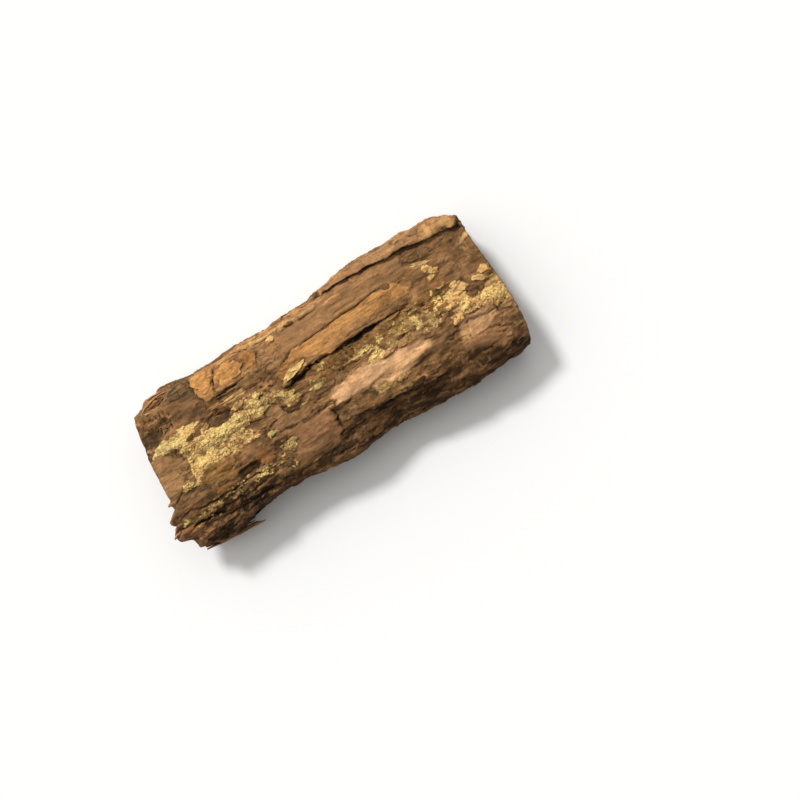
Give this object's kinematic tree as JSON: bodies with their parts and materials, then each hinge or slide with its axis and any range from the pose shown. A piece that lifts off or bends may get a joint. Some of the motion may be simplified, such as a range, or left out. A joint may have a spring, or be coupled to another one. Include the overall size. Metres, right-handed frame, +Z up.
{
  "type": "indian almond bark",
  "caption": "Curled shell of Indian almond tree bark: rough layered outside with cracks, plates and lichen, hollow underneath, lying on its long rims.",
  "frame": {"origin": "middle of the footprint, on the surface that the bark lies on", "axes": "+X along the grain, towards the end with the raised lip; +Y across, towards the lip; +Z up, out of the curved outer side"},
  "size_m": [0.1698, 0.0734, 0.03],
  "materials": {
    "bark": "dry, matt, fibrous bark: brown and tan plates with orange-tan flakes, dark cracks and crusts of pale yellow-green lichen"
  },
  "bodies": {
    "root": {"bark": "bark"}
  },
  "joints": []
}
